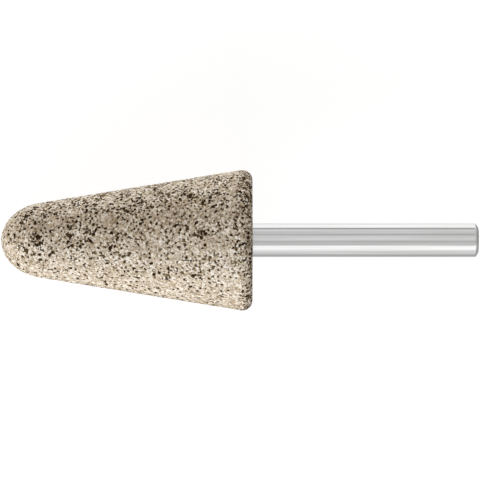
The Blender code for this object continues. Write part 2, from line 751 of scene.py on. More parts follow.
DARK_FINISH = GritFinish(
    shades=((0.0, (39, 23, 2)), (0.45, (58, 41, 15)), (0.8, (89, 72, 46)), (1.0, (116, 99, 73))),
    warm=(1.01, 1.0, 0.98),
    cool=(1.0, 1.0, 1.02),
    roughness=(0.45, 0.8),
    skin=BrokenSkin(scale=7000.0, contrast=0.5, depth=0.015 * MM),
    specular=0.13,
)
GRIT = {
    Grit.CREAM: GritBlend(
        finish=CREAM_FINISH,
        share=0.41,
        size=0.53 * MM,
        size_spread=0.27,
        size_limits=(0.28 * MM, 1.05 * MM),
        depth=(0.02, 0.20),
        drop=(0.0 * MM, 0.05 * MM),
        tone_spread=0.38,
    ),
    Grit.SAND: GritBlend(
        finish=SAND_FINISH,
        share=0.29,
        size=0.48 * MM,
        size_spread=0.24,
        size_limits=(0.26 * MM, 0.85 * MM),
        depth=(0.04, 0.25),
        drop=(0.01 * MM, 0.07 * MM),
        tone_spread=0.40,
    ),
    Grit.OAT: GritBlend(
        finish=OAT_FINISH,
        share=0.14,
        size=0.50 * MM,
        size_spread=0.26,
        size_limits=(0.28 * MM, 0.95 * MM),
        depth=(0.02, 0.22),
        drop=(0.0 * MM, 0.06 * MM),
        tone_spread=0.30,
    ),
    Grit.ROSE: GritBlend(
        finish=ROSE_FINISH,
        share=0.12,
        size=0.50 * MM,
        size_spread=0.24,
        size_limits=(0.28 * MM, 0.90 * MM),
        depth=(0.02, 0.22),
        drop=(0.0 * MM, 0.06 * MM),
        tone_spread=0.34,
    ),
    Grit.DARK: GritBlend(
        finish=DARK_FINISH,
        share=0.34,
        size=0.59 * MM,
        size_spread=0.38,
        size_limits=(0.26 * MM, 0.98 * MM),
        depth=(0.0, 0.12),
        drop=(0.0 * MM, 0.02 * MM),
        tone_spread=0.32,
        tilt=0.06,
        apart=0.59 * MM,
        stretch=(0.4, 1.25),
        bulk=0.45,
    ),
}


@dataclass(frozen=True)
class BondFinish:
    """Finish of the fired bond between the grains, darker the deeper it lies, as painted shade down in the
    pores.
    """

    pale: tuple[float, float, float] = (190, 172, 148)
    painted_pore_shade: tuple[float, float, float] = (62, 43, 17)
    painted_shade_depths: tuple[float, float] = (0.12 * MM, 0.38 * MM)
    roughness: float = 0.8
    specular: float = 0.4
    skin: BrokenSkin = BrokenSkin(scale=6000.0, contrast=0.5, depth=0.03 * MM)

    def material(self, name: str, crystal: bpy.types.NodeTree) -> bpy.types.Material:
        """Builds the material. It reads how deep each point lies, and paints shade on the deep points.

        Args:
            name: The material's name.
            crystal: The group for the broken surface.

        Returns:
            The material.
        """
        material, wiring, shader = new_material(name)
        depth = wiring.add("Attribute", attribute_name="depth").outputs["Fac"]
        # Painted shade: the bond darkens with depth, down in the pores.
        share = wiring.spread(depth, *self.painted_shade_depths, 0.0, 1.0)
        base = wiring.mix(share, colour(*self.pale), colour(*self.painted_pore_shade))
        self.skin.lay(wiring, shader, base, crystal)
        shader.inputs["Roughness"].default_value = self.roughness
        shader.inputs["Specular IOR Level"].default_value = self.specular
        return material


@dataclass(frozen=True)
class CementFinish:
    """Finish of the pale matt cement round the shank, patchy and with a few dark specks."""

    pale: tuple[float, float, float] = (208, 199, 187)
    dull: tuple[float, float, float] = (176, 165, 151)
    speck: tuple[float, float, float] = (104, 92, 78)
    patch_scale: float = 1600.0
    patch_span: tuple[float, float] = (0.35, 0.6)
    speck_scale: float = 4500.0
    speck_span: tuple[float, float] = (0.66, 0.72)
    roughness: float = 0.85
    specular: float = 0.35
    skin: BrokenSkin = BrokenSkin(scale=6000.0, contrast=0.45, depth=0.03 * MM)

    def material(self, name: str, crystal: bpy.types.NodeTree) -> bpy.types.Material:
        """Builds the material.

        Args:
            name: The material's name.
            crystal: The group for the broken surface.

        Returns:
            The material.
        """
        material, wiring, shader = new_material(name)
        place = wiring.add("TexCoord").outputs["Object"]
        patches = wiring.noise(place, self.patch_scale, detail=4.0)
        shades = (colour(*self.dull), colour(*self.pale))
        base = wiring.ramp(patches, list(zip(self.patch_span, shades)))
        specks = wiring.noise(place, self.speck_scale, detail=1.0)
        specks = wiring.spread(specks, *self.speck_span, 0.0, 1.0)
        base = wiring.mix(specks, base, colour(*self.speck))
        self.skin.lay(wiring, shader, base, crystal)
        shader.inputs["Roughness"].default_value = self.roughness
        shader.inputs["Specular IOR Level"].default_value = self.specular
        return material


@dataclass(frozen=True)
class SteelFinish:
    """Finish of the ground steel shank: near mirror, with faint lines along it and round it.

    The end face is faced off on a lathe, so its rings are deeper and its shine is duller. Scales
    are for each metre. The squeeze draws the streaks out along the bar, the slip keeps the rings
    from being quite round, and the end span is how far behind the end face its finish gives way.
    """

    reflectance: tuple[float, float, float] = (237, 237, 237)
    dull: tuple[float, float, float] = (224, 224, 223)
    faced: tuple[float, float, float] = (232, 232, 230)
    faced_dull: tuple[float, float, float] = (186, 186, 184)
    roughness: tuple[float, float] = (0.08, 0.16)
    faced_roughness: float = 0.14
    streak_scale: float = 2500.0
    streak_squeeze: float = 0.02
    streak_span: tuple[float, float] = (0.35, 0.65)
    ring_scale: float = 9000.0
    ring_slip: float = 0.04
    ring_span: tuple[float, float] = (0.3, 0.7)
    line_bump: float = 0.0004 * MM
    faced_scale: float = 2600.0
    faced_span: tuple[float, float] = (0.38, 0.62)
    faced_depth: float = 9.0
    end_span: tuple[float, float] = (0.01 * MM, 0.04 * MM)

    def places(
        self, wiring: Wiring, tool: ToolFrame,
    ) -> tuple[bpy.types.NodeSocket, bpy.types.NodeSocket, bpy.types.NodeSocket]:
        """Measures each point in the tool's frame.

        Args:
            wiring: The material's wiring.
            tool: The tool's frame.

        Returns:
            A place in which noise is drawn out along the axis, one in which it makes rings round
            the axis, and z.
        """
        shift, turn, _ = tool.matrix().inverted().decompose()
        place = wiring.add("Mapping")
        wiring.feed(place.inputs["Vector"], wiring.add("TexCoord").outputs["Object"])
        place.inputs["Location"].default_value = shift
        place.inputs["Rotation"].default_value = turn.to_euler()
        drawn = wiring.add("VectorMath", operation="MULTIPLY")
        wiring.feed(drawn.inputs[0], place.outputs[0])
        drawn.inputs[1].default_value = (1.0, 1.0, self.streak_squeeze)
        parts = wiring.add("SeparateXYZ")
        wiring.feed(parts.inputs[0], place.outputs[0])
        x, y, z = parts.outputs
        squares = [wiring.maths("MULTIPLY", part, part) for part in (x, y)]
        ringed = wiring.add("CombineXYZ")
        wiring.feed(ringed.inputs[0], wiring.maths("SQRT", wiring.maths("ADD", *squares)))
        wiring.feed(ringed.inputs[1], wiring.maths("MULTIPLY", x, self.ring_slip))
        wiring.feed(ringed.inputs[2], z)
        return drawn.outputs[0], ringed.outputs[0], z

    def material(self, name: str, tool: ToolFrame, end: float) -> bpy.types.Material:
        """Builds the material.

        Args:
            name: The material's name.
            tool: The tool's frame, which the lines follow.
            end: z of the end face in the tool's frame.

        Returns:
            The material.
        """
        material, wiring, shader = new_material(name)
        drawn, ringed, z = self.places(wiring, tool)
        at_end = wiring.spread(z, *(end + depth for depth in self.end_span), 1.0, 0.0)

        streaks = wiring.noise(drawn, self.streak_scale, detail=3.0)
        streaks = wiring.spread(streaks, *self.streak_span, 0.0, 1.0)
        base = wiring.mix(streaks, colour(*self.dull), colour(*self.reflectance))
        bands = wiring.noise(ringed, self.faced_scale, detail=1.0)
        bands = wiring.spread(bands, *self.faced_span, 0.0, 1.0)
        faced = wiring.mix(bands, colour(*self.faced_dull), colour(*self.faced))
        wiring.feed(shader.inputs["Base Color"], wiring.mix(at_end, base, faced))
        shader.inputs["Metallic"].default_value = 1.0

        rings = wiring.noise(ringed, self.ring_scale, detail=2.0)
        rough = wiring.spread(rings, *self.ring_span, *self.roughness)
        rough = wiring.maths("ADD", rough, wiring.maths("MULTIPLY", at_end, self.faced_roughness))
        wiring.feed(shader.inputs["Roughness"], rough)
        depth = wiring.spread(at_end, 0.0, 1.0, 1.0, self.faced_depth)
        bump_surface(wiring, shader, wiring.maths("MULTIPLY", rings, depth), self.line_bump)
        return material


def mesh_from(bm: bmesh.types.BMesh, name: str) -> bpy.types.Mesh:
    """Writes a body to a new mesh, and frees the body.

    Args:
        bm: The body.
        name: The mesh's name.

    Returns:
        The mesh.
    """
    mesh = bpy.data.meshes.new(name)
    bm.to_mesh(mesh)
    bm.free()
    return mesh


def show(mesh: bpy.types.Mesh, material: bpy.types.Material, tool: ToolFrame) -> bpy.types.Object:
    """Lays a finished mesh into the row's frame, as a piece that rides on the tool's body.

    Args:
        mesh: The mesh, in the tool's frame, which is named as its piece.
        material: Its material.
        tool: The tool's frame.

    Returns:
        The piece.
    """
    mesh.transform(tool.matrix())
    mesh.materials.clear()
    mesh.materials.append(material)
    piece = bpy.data.objects.new(mesh.name, mesh)
    bpy.context.scene.collection.objects.link(piece)
    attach(piece, BODY)
    mesh.calc_loop_triangles()
    log.info("%s: %d triangles", piece.name, len(mesh.loop_triangles))
    return piece


def table_at(table: Sequence[tuple[float, float]], at: np.ndarray) -> np.ndarray:
    """Reads a table of places and values, in between its rows too."""
    return np.interp(at, *np.transpose(table))


def grain_ball() -> bmesh.types.BMesh:
    """Starts a grain as a coarse ball, 1 across.

    Returns:
        The ball.
    """
    ball = bmesh.new()
    bmesh.ops.create_icosphere(ball, subdivisions=1, radius=0.5)
    return ball


@dataclass
class AbrasiveHead:
    """The head: a fired body of bond with grains of five kinds set in its skin.

    Tables by side go from -1, the photograph's upper side, to 1, its lower side, and tables by z
    start at the back face. Those of darks multiply the share of dark grains and pores; the grains
    are real, but the tables put more of them on the upper side and towards the back face and fewer
    on the lower side and at the nose, as painted shade. Those of tone are added to the tone of the
    grains: the one by side is painted light and shade, and the one by z makes the grains duller
    towards the nose. That of the spread multiplies how much the tone differs from grain to grain,
    and evens the grains on the lit lower side, as painted light that holds down their highlights.
    The edge's own table takes over towards the back face.

    The bond is what lies within the skin. It is sunk under the dressed surface, and swells and
    ripples there.
    """

    tool: ToolFrame
    form: HeadForm = field(default_factory=HeadForm)
    sites: int = 27000
    site_jitter: float = 0.40
    section_steps: tuple[int, int, int, int] = (60, 60, 20, 10)
    face_margin: float = 0.06 * MM
    inset: float = 0.004 * MM
    segments: int = 288
    rows: tuple[int, int, int, int] = (50, 150, 14, 28)
    skin: float = 0.05 * MM
    touch: float = 0.01 * MM
    sink: float = 0.125 * MM
    swell: float = 0.03 * MM
    swell_scale: float = 0.9 * MM
    ripple: float = 0.5
    ripple_pitch: float = 2.3
    pore_share: float = 0.04
    pore_radius: tuple[float, float] = (0.25 * MM, 0.5 * MM)
    pore_depth: float = 0.28 * MM
    cluster_scale: float = 2.8 * MM
    cluster_strength: float = 1.4
    cluster_limits: tuple[float, float] = (0.2, 2.6)
    cluster_swings: tuple[tuple[Grit, float], ...] = (
        (Grit.SAND, -0.5), (Grit.OAT, 0.6), (Grit.ROSE, -1.0),
    )
    patch_scales: tuple[float, float] = (1.1 * MM, 2.6 * MM)
    patch_strength: float = 0.62
    tint_scale: float = 1.8 * MM
    tint_spread: float = 0.2
    vein_strength: float = 0.4
    side_fade: float = 3.0 * MM
    least_radius: float = 1.0 * MM
    # Shares of dark grains and pores by side: painted shade, more on the upper side and fewer on the lower
    # side.
    darks_and_painted_shade_by_side: tuple[tuple[float, float], ...] = (
        (-1.0, 1.3), (-0.7, 1.55), (-0.5, 1.05), (0.0, 1.18),
        (0.2, 1.05), (0.4, 1.0), (0.6, 0.78), (0.85, 0.4),
    )
    # The same for the rounded back edge: painted shade, most at its upper side.
    edge_darks_and_painted_shade_by_side: tuple[tuple[float, float], ...] = (
        (-1.0, 1.4), (-0.8, 1.25), (-0.6, 0.95), (-0.4, 0.85),
        (-0.2, 0.9), (0.0, 1.0), (0.5, 1.05), (0.8, 1.15),
    )
    # Shares of dark grains and pores by z: painted shade, most at the back edge and least at the nose.
    darks_and_painted_shade_by_z: tuple[tuple[float, float], ...] = (
        (0.0 * MM, 2.4), (0.8 * MM, 2.2), (1.5 * MM, 1.7), (2.4 * MM, 1.1), (3.4 * MM, 0.5), (4.6 * MM, 0.5),
        (6.2 * MM, 1.0), (37.0 * MM, 1.0), (40.5 * MM, 0.8), (42.5 * MM, 0.4), (44.5 * MM, 0.35),
    )
    # Painted light and shade on the grains by side: paler at the upper edge and in a band of the lower side,
    # duller across the upper half and at the lower edge.
    painted_light_and_shade_by_side: tuple[tuple[float, float], ...] = (
        (-1.0, 0.85), (-0.85, 0.24), (-0.6, -0.14), (-0.35, -0.33), (-0.15, -0.06), (0.1, 0.04), (0.25, 0.42),
        (0.35, 0.65), (0.47, 0.4), (0.65, 0.14), (0.78, 0.04), (0.88, -0.06), (0.94, -0.1), (1.0, -0.75),
    )
    tones_by_z: tuple[tuple[float, float], ...] = (
        (36.0 * MM, 0.0), (41.0 * MM, -0.28), (44.5 * MM, -0.6),
    )
    # Painted light: on the lit lower side the grains are made more alike, to hold down their highlights.
    painted_highlight_spread_by_side: tuple[tuple[float, float], ...] = ((0.3, 1.0), (0.55, 0.75), (0.85, 0.5))
    most_tilt: float = 0.30
    flat_reach: float = 0.4
    shape_count: int = 16
    chips: tuple[float, float] = (0.72, 1.18)
    rng: np.random.Generator = field(init=False, repr=False)
    envelope: Envelope = field(init=False, repr=False)
    spots: np.ndarray = field(init=False, repr=False)
    kinds: np.ndarray = field(init=False, repr=False)

    def __post_init__(self) -> None:
        """Works out the surface and scatters the sites."""
        self.rng = np.random.default_rng(SEED)
        self.envelope = Envelope(self.form, self.inset)
        self.scatter()
        self.sort_sites()

    def scatter(self) -> None:
        """Spreads the sites evenly over the outer surface, in a golden-angle spiral with jitter."""
        section = self.form.outline(*self.section_steps)
        length = np.linalg.norm(np.diff(section, axis=0), axis=1)
        middle = (section[1:, 0] + section[:-1, 0]) / 2
        run = np.concatenate([[0.0], np.cumsum(length)])
        area = np.concatenate([[0.0], np.cumsum(2 * np.pi * middle * length)])
        pitch = math.sqrt(area[-1] / self.sites)
        order = np.arange(self.sites)
        jitter = self.rng.uniform(-self.site_jitter, self.site_jitter, (2, self.sites)) * pitch
        at = np.interp((order + 0.5) / self.sites * area[-1], area, run)
        at = np.clip(at + jitter[0], 0, run[-1])
        radius, z = np.interp(at, run, section[:, 0]), np.interp(at, run, section[:, 1])
        turn = order * GOLDEN_ANGLE + jitter[1] / np.maximum(radius, pitch)
        spots = np.stack([radius * np.cos(turn), radius * np.sin(turn), z], 1)
        mouth = self.form.bore_radius + self.form.mouth_chamfer + self.face_margin
        self.spots = spots[(radius > mouth) | (z > self.form.back_edge_radius)]

    def sort_sites(self) -> None:
        """Gives each site a kind of grain, or none where there is a pore.

        Dark grains and pores cluster, and follow the tables of darks, except on the flat of the
        back face. The grains are real, but those tables paint shade with them: more on the upper side
        and towards the back face, fewer on the lower side and at the nose. The shares of the other kinds
        are of the sites that the dark grains leave.
        """
        drift = np.array([noise.noise(Vector(spot) / self.cluster_scale) for spot in self.spots])
        side, on_flank = self.side_of(self.spots), self.share_of_flank(self.spots)
        # The tables of darks paint shade: they put dark grains and pores where light falls away.
        along_flank = table_at(self.darks_and_painted_shade_by_side, side)
        along_edge = table_at(self.edge_darks_and_painted_shade_by_side, side)
        local = along_flank * on_flank + along_edge * (1 - on_flank)
        local *= table_at(self.darks_and_painted_shade_by_z, self.spots[:, 2])
        local[self.spots[:, 2] < self.touch] = 1.0
        lean = np.clip(1 + self.cluster_strength * drift, *self.cluster_limits) * local
        draw = self.rng.random(len(self.spots))
        bounds = [self.pore_share * lean]
        kinds = [PORE]
        for kind, swing in self.cluster_swings:
            bounds.append(bounds[-1] + GRIT[kind].share * (1 + swing * drift))
            kinds.append(kind.number)
        self.kinds = np.select([draw < bound for bound in bounds], kinds, Grit.CREAM.number)
        dark = self.rng.random(len(self.spots)) < GRIT[Grit.DARK].share * lean
        apart = GRIT[Grit.DARK].apart / np.sqrt(lean)
        self.kinds[self.spaced(np.flatnonzero(dark), apart)] = Grit.DARK.number

    def side_of(self, spots: np.ndarray) -> np.ndarray:
        """Tells which side of the head spots are on, from -1 to 1."""
        return -spots[:, 1] / np.maximum(np.hypot(spots[:, 0], spots[:, 1]), self.least_radius)

    def share_of_flank(self, spots: np.ndarray) -> np.ndarray:
        """Tells how far along spots are from the back face, at 0, to the plain flank, at 1."""
        return np.clip(spots[:, 2] / self.side_fade, 0, 1)

    def spaced(self, sites: np.ndarray, apart: np.ndarray) -> list[int]:
        """Picks sites in a random order, and skips those too close to one already picked.

        Args:
            sites: Numbers of the sites to pick from.
            apart: The least distance from each site to a picked one.

        Returns:
            Numbers of the picked sites.
        """
        tree = kdtree.KDTree(len(sites))
        for site in sites:
            tree.insert(self.spots[site], site)
        tree.balance()
        picked = set()
        for site in self.rng.permutation(sites):
            near = tree.find_range(self.spots[site], apart[site])
            if picked.isdisjoint(index for _, index, _ in near):
                picked.add(int(site))
        return sorted(picked)

    def pore_tree(self) -> tuple[kdtree.KDTree, np.ndarray]:
        """Sorts the pores for a search by place.

        Returns:
            The search tree and each pore's radius.
        """
        pores = self.spots[self.kinds == PORE]
        tree = kdtree.KDTree(len(pores))
        for index, spot in enumerate(pores):
            tree.insert(spot, index)
        tree.balance()
        return tree, self.rng.uniform(*self.pore_radius, len(pores))

    def bond_depths(self, places: np.ndarray, height: np.ndarray) -> np.ndarray:
        """Works out how far the bond lies under the dressed surface, with its swells and pits.

        Args:
            places: The points of the body.
            height: How far each stands out of the dressed surface.

        Returns:
            The depth of each point, which is 0 in the bore and small at its mouth.
        """
        tree, radii = self.pore_tree()
        depth = np.zeros(len(places))
        for index in np.flatnonzero(height > -self.skin):
            spot = Vector(places[index])
            wave = noise.noise(spot / self.swell_scale)
            wave += self.ripple * noise.noise(spot * self.ripple_pitch / self.swell_scale)
            _, pore, distance = tree.find(spot)
            pit = max(0.0, 1 - (distance / radii[pore]) ** 2)
            depth[index] = self.sink + self.swell * wave + self.pore_depth * pit
        rim = np.hypot(places[:, 0], places[:, 1]) - self.form.bore_radius - self.form.mouth_chamfer
        at_mouth = (rim < self.touch) & (places[:, 2] < self.form.mouth_chamfer / 2)
        depth[at_mouth] = np.minimum(depth[at_mouth], self.sink / 2)
        return depth

    def build_body(self, material: bpy.types.Material) -> bpy.types.Object:
        """Turns the body of bond, a little under the dressed surface, uneven and pitted.

        Args:
            material: The bond's material.

        Returns:
            The piece.
        """
        outer = self.form.outline(*self.rows)
        mesh = mesh_from(turned([*outer, *self.form.bore()], self.segments), "abrasive_body")
        places = places_of(mesh)
        height, normals = self.envelope.heights(places)
        depth = self.bond_depths(places, height)
        set_places(mesh, self.envelope.shift(places, -depth, normals))
        add_numbers(mesh, "depth", depth)
        mesh.shade_smooth()
        piece = show(mesh, material, self.tool)
        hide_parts("abrasive_head")
        return piece

    def grain_shapes(self) -> list[np.ndarray]:
        """Breaks a few angular grains, each about 1 across, to be used over and over.

        Returns:
            The points of each grain, in the order of the ball's.
        """
        shapes = []
        for _ in range(self.shape_count):
            ball = grain_ball()
            for point in ball.verts:
                point.co *= self.rng.uniform(*self.chips)
            shapes.append(np.array([point.co for point in ball.verts]))
            ball.free()
        return shapes

    def gather_grains(
        self, name: str, centres: np.ndarray, size: np.ndarray, stretch: tuple[float, float],
    ) -> bpy.types.Mesh:
        """Gathers grains of random shapes, turned at random, in one mesh.

        Args:
            name: The mesh's name.
            centres: The middle of each grain.
            size: The size of each grain.
            stretch: How long a grain may be each way, as a share of its size.

        Returns:
            The mesh, one grain's points after the other's.
        """
        count = len(centres)
        turns = self.rng.normal(size=(count, 4))
        lengths = self.rng.uniform(*stretch, (count, 3))
        pick = self.rng.integers(0, self.shape_count, count)
        shapes = self.grain_shapes()
        grain = mesh_from(grain_ball(), "grain")
        gathered = bmesh.new()
        for index in range(count):
            points = shapes[pick[index]] * lengths[index] * size[index]
            turn = np.array(quaternion_matrix(turns[index]))
            set_places(grain, points @ turn.T + centres[index])
            gathered.from_mesh(grain)
        bpy.data.meshes.remove(grain)
        return mesh_from(gathered, name)

    def dress_grains(
        self, mesh: bpy.types.Mesh, centres: np.ndarray, size: np.ndarray, blend: GritBlend,
    ) -> None:
        """Dresses gathered grains flush, each a little lower or steeper than the next.

        Args:
            mesh: The gathered grains.
            centres: The middle of each grain.
            size: The size of each grain.
            blend: How the grains sit in the bond.
        """
        count = len(centres)
        places = places_of(mesh)
        each = len(places) // count
        drop = self.rng.uniform(*blend.drop, count)
        lean = self.rng.normal(size=(count, 3))
        lean /= np.linalg.norm(lean, axis=1)[:, None]
        steep = np.minimum(np.abs(self.rng.normal(0, blend.tilt, count)), self.most_tilt)
        offset = ((places - np.repeat(centres, each, 0)) * np.repeat(lean, each, 0)).sum(1)
        slope = np.repeat(steep, each) * (offset + np.repeat(size * self.flat_reach, each))
        set_places(mesh, self.envelope.dress(places, np.repeat(drop, each) + np.maximum(slope, 0)))

    def tones_with_painted_light(self, spots: np.ndarray, size: np.ndarray, blend: GritBlend) -> np.ndarray:
        """Gives each grain a tone, which goes by chance, in patches, by its place and by its size. By
        side it holds painted light and shade, and is evened on the lit lower side as painted light that
        holds down highlights; towards the nose it is duller.

        Args:
            spots: Where each grain is.
            size: The size of each grain.
            blend: How much the tone differs.

        Returns:
            Each grain's tone, from 0, dull, to 1, pale.
        """
        patches = [sum(noise.noise(Vector(spot) / scale) for scale in self.patch_scales) for spot in spots]
        side = self.side_of(spots)
        tone = self.rng.normal(0, blend.tone_spread, len(spots)) + self.patch_strength * np.array(patches)
        # Painted light: grains on the lit lower side are evened out.
        tone *= table_at(self.painted_highlight_spread_by_side, side)
        # Painted light and shade by side.
        tone += table_at(self.painted_light_and_shade_by_side, side) * self.share_of_flank(spots)
        tone += table_at(self.tones_by_z, spots[:, 2])
        tone -= blend.bulk * np.log(size / blend.size)
        return np.clip(tone + MIDDLE, 0, 1)

    def tints(self, spots: np.ndarray) -> np.ndarray:
        """Gives each grain a tint, which goes by chance and in veins.

        Args:
            spots: Where each grain is.

        Returns:
            The tints, from 0, warm, to 1, cool.
        """
        veins = [noise.noise(Vector(spot) / self.tint_scale) for spot in -spots]
        chance = self.rng.normal(MIDDLE, self.tint_spread, len(spots))
        return np.clip(chance + self.vein_strength * np.array(veins), 0, 1)

    def build_grit(self, kind: Grit, material: bpy.types.Material) -> bpy.types.Object:
        """Sets one kind of grain in the skin, and dresses it flush.

        Args:
            kind: The kind of grain.
            material: Its material.

        Returns:
            The piece.
        """
        blend = GRIT[kind]
        spots = self.spots[self.kinds == kind.number]
        count = len(spots)
        _, normals = self.envelope.heights(spots)
        size = blend.size * np.exp(self.rng.normal(0, blend.size_spread, count))
        size = np.clip(size, *blend.size_limits)
        centres = self.envelope.shift(spots, -size * self.rng.uniform(*blend.depth, count), normals)
        mesh = self.gather_grains(kind.value, centres, size, blend.stretch)
        lay_grain_map(mesh, centres, self.envelope)
        self.dress_grains(mesh, centres, size, blend)
        each = len(mesh.vertices) // count
        add_numbers(mesh, "tone", np.repeat(self.tones_with_painted_light(spots, size, blend), each))
        add_numbers(mesh, "tint", np.repeat(self.tints(spots), each))
        piece = show(mesh, material, self.tool)
        return piece

    def build(self, crystal: bpy.types.NodeTree) -> None:
        """Builds the body and every kind of grain.

        Args:
            crystal: The group for the broken surface.
        """
        self.build_body(BondFinish().material("fired_bond", crystal))
        for kind in Grit:
            self.build_grit(kind, GRIT[kind].finish.material(kind.value, crystal))


def quaternion_matrix(parts: Iterable[float]) -> Matrix:
    """Gives the turn that four numbers stand for.

    Args:
        parts: The numbers, of any length but 0.

    Returns:
        The turn, as a 3 by 3 matrix.
    """
    w, x, y, z = parts
    length = math.sqrt(w * w + x * x + y * y + z * z)
    w, x, y, z = w / length, x / length, y / length, z / length
    return Matrix((
        (1 - 2 * (y * y + z * z), 2 * (x * y - z * w), 2 * (x * z + y * w)),
        (2 * (x * y + z * w), 1 - 2 * (x * x + z * z), 2 * (y * z - x * w)),
        (2 * (x * z - y * w), 2 * (y * z + x * w), 1 - 2 * (x * x + y * y)),
    ))


def lay_grain_map(mesh: bpy.types.Mesh, centres: np.ndarray, envelope: Envelope) -> None:
    """Maps gathered grains, each into a square cell of its own, its outer side in the middle.

    Args:
        mesh: The gathered grains, all with the same number of points.
        centres: The middle of each grain.
        envelope: The head's surface, which gives the way out.
    """
    count = len(centres)
    each = len(mesh.vertices) // count
    _, normals = envelope.heights(centres)
    out = envelope.shift(centres, np.ones(count), normals) - centres
    across = np.cross(out, (0.0, 0.0, 1.0)) + (NUDGE, 0.0, 0.0)
    across /= np.linalg.norm(across, axis=1)[:, None]
    up = np.cross(out, across)
    rays = places_of(mesh) - np.repeat(centres, each, 0)
    rays /= np.linalg.norm(rays, axis=1)[:, None]
    parts = [(rays * np.repeat(way, each, 0)).sum(1) for way in (across, up, out)]
    reach = np.arccos(np.clip(parts[2], -1, 1)) / np.pi
    flat = np.maximum(np.hypot(parts[0], parts[1]), TINY)
    local = np.stack([parts[0], parts[1]], 1) / flat[:, None] * reach[:, None] * CELL_REACH + MIDDLE
    side = math.ceil(math.sqrt(count))
    grain = np.repeat(np.arange(count), each)
    corner = np.stack([grain % side, grain // side], 1)
    places = (corner + local) / side
    points = np.empty(len(mesh.loops), np.int32)
    mesh.loops.foreach_get("vertex_index", points)
    layer = mesh.uv_layers.new(name=BAKE_MAP)
    layer.uv.foreach_set("vector", places[points].astype(np.float32).ravel())


@dataclass
class SteelShank:
    """The shank: a round bar, ground bright, chamfered at its free end and keyed at its set end.

    The ease is how far the curve at each corner of the chamfer runs, as a share of the chamfer. The
    waver is how far the bar departs from round and straight.
    """

    tool: ToolFrame
    radius: float = 3.0 * MM
    free_length: float = 40.2 * MM
    set_length: float = 23.0 * MM
    set_chamfer: float = 0.5 * MM
    chamfer_length: float = 0.50 * MM
    chamfer_depth: float = 0.74 * MM
    chamfer_ease: float = 0.18
    ease_steps: int = 5
    groove_count: int = 4
    groove_width: float = 1.6 * MM
    groove_depth: float = 0.45 * MM
    groove_pitch: float = 4.4 * MM
    first_groove_z: float = 4.0 * MM
    segments: int = 192
    row: float = 0.4 * MM
    waver: float = 0.0025 * MM
    waver_round: float = 1.6
    waver_length: float = 9.0 * MM
    sharp_angle: float = math.radians(50)
    solid_sides: int = 48

    def grooves(self) -> list[tuple[float, float]]:
        """Gives the lower and upper z of each keying groove, the deepest in the head first."""
        starts = [self.first_groove_z + self.groove_pitch * index for index in range(self.groove_count)]
        return [(start, start + self.groove_width) for start in reversed(starts)]

    def section(self) -> list[tuple[float, float]]:
        """Draws half the section, from the set end to the free end.

        Returns:
            Radius and z of its points.
        """
        points = [
            (0.0, self.set_length),
            (self.radius - self.set_chamfer, self.set_length),
            (self.radius, self.set_length - self.set_chamfer),
        ]
        floor = self.radius - self.groove_depth
        for low, high in self.grooves():
            points += [(self.radius, high), (floor, high), (floor, low), (self.radius, low)]
        end = -self.free_length
        last = end + self.chamfer_length * (1 + self.chamfer_ease)
        rows = round((self.first_groove_z - last) / self.row)
        points += [(self.radius, float(z)) for z in np.linspace(self.first_groove_z, last, rows + 1)[1:]]
        points += self.eased_end(end)
        return [*points, (0.0, end)]

    def eased_end(self, end: float) -> list[tuple[float, float]]:
        """Draws the chamfer with its two corners eased into short curves.

        Args:
            end: z of the end face.

        Returns:
            Radius and z of its points, from the bar to the end face.
        """
        ease, length, depth = self.chamfer_ease, self.chamfer_length, self.chamfer_depth
        start = Vector((self.radius, end + length * (1 + ease)))
        first = Vector((self.radius, end + length))
        second = Vector((self.radius - depth, end))
        finish = Vector((self.radius - depth * (1 + ease), end))
        slope = second - first
        curves = [
            (start, first, first + slope * ease),
            (second - slope * ease, second, finish),
        ]
        points = []
        for begin, corner, stop in curves:
            for share in np.linspace(0, 1, self.ease_steps + 1):
                point = begin * (1 - share) ** 2 + corner * 2 * share * (1 - share) + stop * share**2
                points.append((point.x, point.y))
        return points[1:]

    def build(self) -> bpy.types.Object:
        """Turns the shank, whose radius is that of the middle of the solid's facets.

        Returns:
            The piece.
        """
        bm = turned(self.section(), self.segments)
        middle = math.cos(math.pi / self.solid_sides)
        for point in bm.verts:
            angle = math.atan2(point.co.y, point.co.x)
            across = math.cos(angle) * self.waver_round, math.sin(angle) * self.waver_round
            spot = Vector((*across, point.co.z / self.waver_length))
            swing = 1 + self.waver / self.radius * noise.noise(spot)
            point.co.x *= swing * middle
            point.co.y *= swing * middle
        mesh = mesh_from(bm, "ground_shank")
        mesh.shade_smooth()
        mesh.set_sharp_from_angle(angle=self.sharp_angle)
        steel = SteelFinish().material("ground_steel", self.tool, -self.free_length)
        piece = show(mesh, steel, self.tool)
        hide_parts("steel_shank")
        return piece


